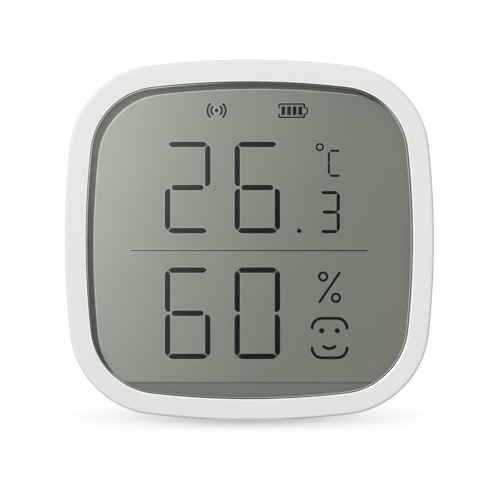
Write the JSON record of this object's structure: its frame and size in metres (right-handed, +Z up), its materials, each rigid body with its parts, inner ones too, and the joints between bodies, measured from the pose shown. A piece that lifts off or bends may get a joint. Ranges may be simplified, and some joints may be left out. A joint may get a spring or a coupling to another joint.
{
  "type": "temperature humidity sensor",
  "caption": "Small white bowed-square room sensor that shows temperature and humidity on a reflective segment display, battery powered, with a keyhole back.",
  "frame": {"origin": "middle of the foot, on the surface that the case stands on, at half the depth", "axes": "+Z up, the display faces -Y, +X to the right of someone who reads the display"},
  "size_m": [0.06, 0.025, 0.0584],
  "materials": {
    "white_abs": "fine moulded satin, white",
    "clear_acrylic": "clear, polished",
    "adhesive_tape": "black double-sided tape",
    "foam": "soft dark foam",
    "polariser_film": "satin grey-green display film",
    "display_glass": "polished glass with a dark backing",
    "reflector_film": "silvery reflective film",
    "carrier_plastic": "moulded plastic",
    "elastomer": "layered silicone rubber",
    "circuit_board": "green solder mask",
    "plated_steel": "nickel-plated steel",
    "chip_epoxy": "black moulding epoxy",
    "capacitor_ceramic": "tan ceramic",
    "cell_can": "plain wrapped battery can",
    "mesh_membrane": "fine dark mesh"
  },
  "bodies": {
    "case": {"front_bezel": "white_abs", "rear_housing": "white_abs", "display_window": "clear_acrylic", "window_tape": "adhesive_tape", "display_gasket": "foam", "lcd_front_polariser": "polariser_film", "lcd_front_glass": "display_glass", "lcd_rear_glass": "display_glass", "lcd_rear_reflector": "reflector_film", "lcd_carrier": "carrier_plastic", "zebra_strip": "elastomer", "main_board": "circuit_board", "radio_module": "circuit_board", "board_screws": "plated_steel", "radio_shield": "plated_steel", "contact_springs": "plated_steel", "series_bridge": "plated_steel", "positive_contact": "plated_steel", "negative_contact": "plated_steel", "crystal": "plated_steel", "display_driver_chip": "chip_epoxy", "sensor_chip": "chip_epoxy", "tact_switch": "chip_epoxy", "capacitors": "capacitor_ceramic", "battery_upper": "cell_can", "battery_lower": "cell_can", "vent_membranes": "mesh_membrane"},
    "door": {"battery_door": "white_abs", "cell_pad": "foam"},
    "button": {"pairing_button": "white_abs", "tact_plunger": "carrier_plastic"}
  },
  "joints": [
    {"name": "door_pull", "type": "slide", "parent": "case", "child": "door", "axis": [0, 1, 0], "range_m": [0, 0.03]},
    {"name": "button_press", "type": "slide", "parent": "case", "child": "button", "axis": [0, -1, 0], "range_m": [0, 0.0004], "stiffness_N_per_m": 1000}
  ]
}
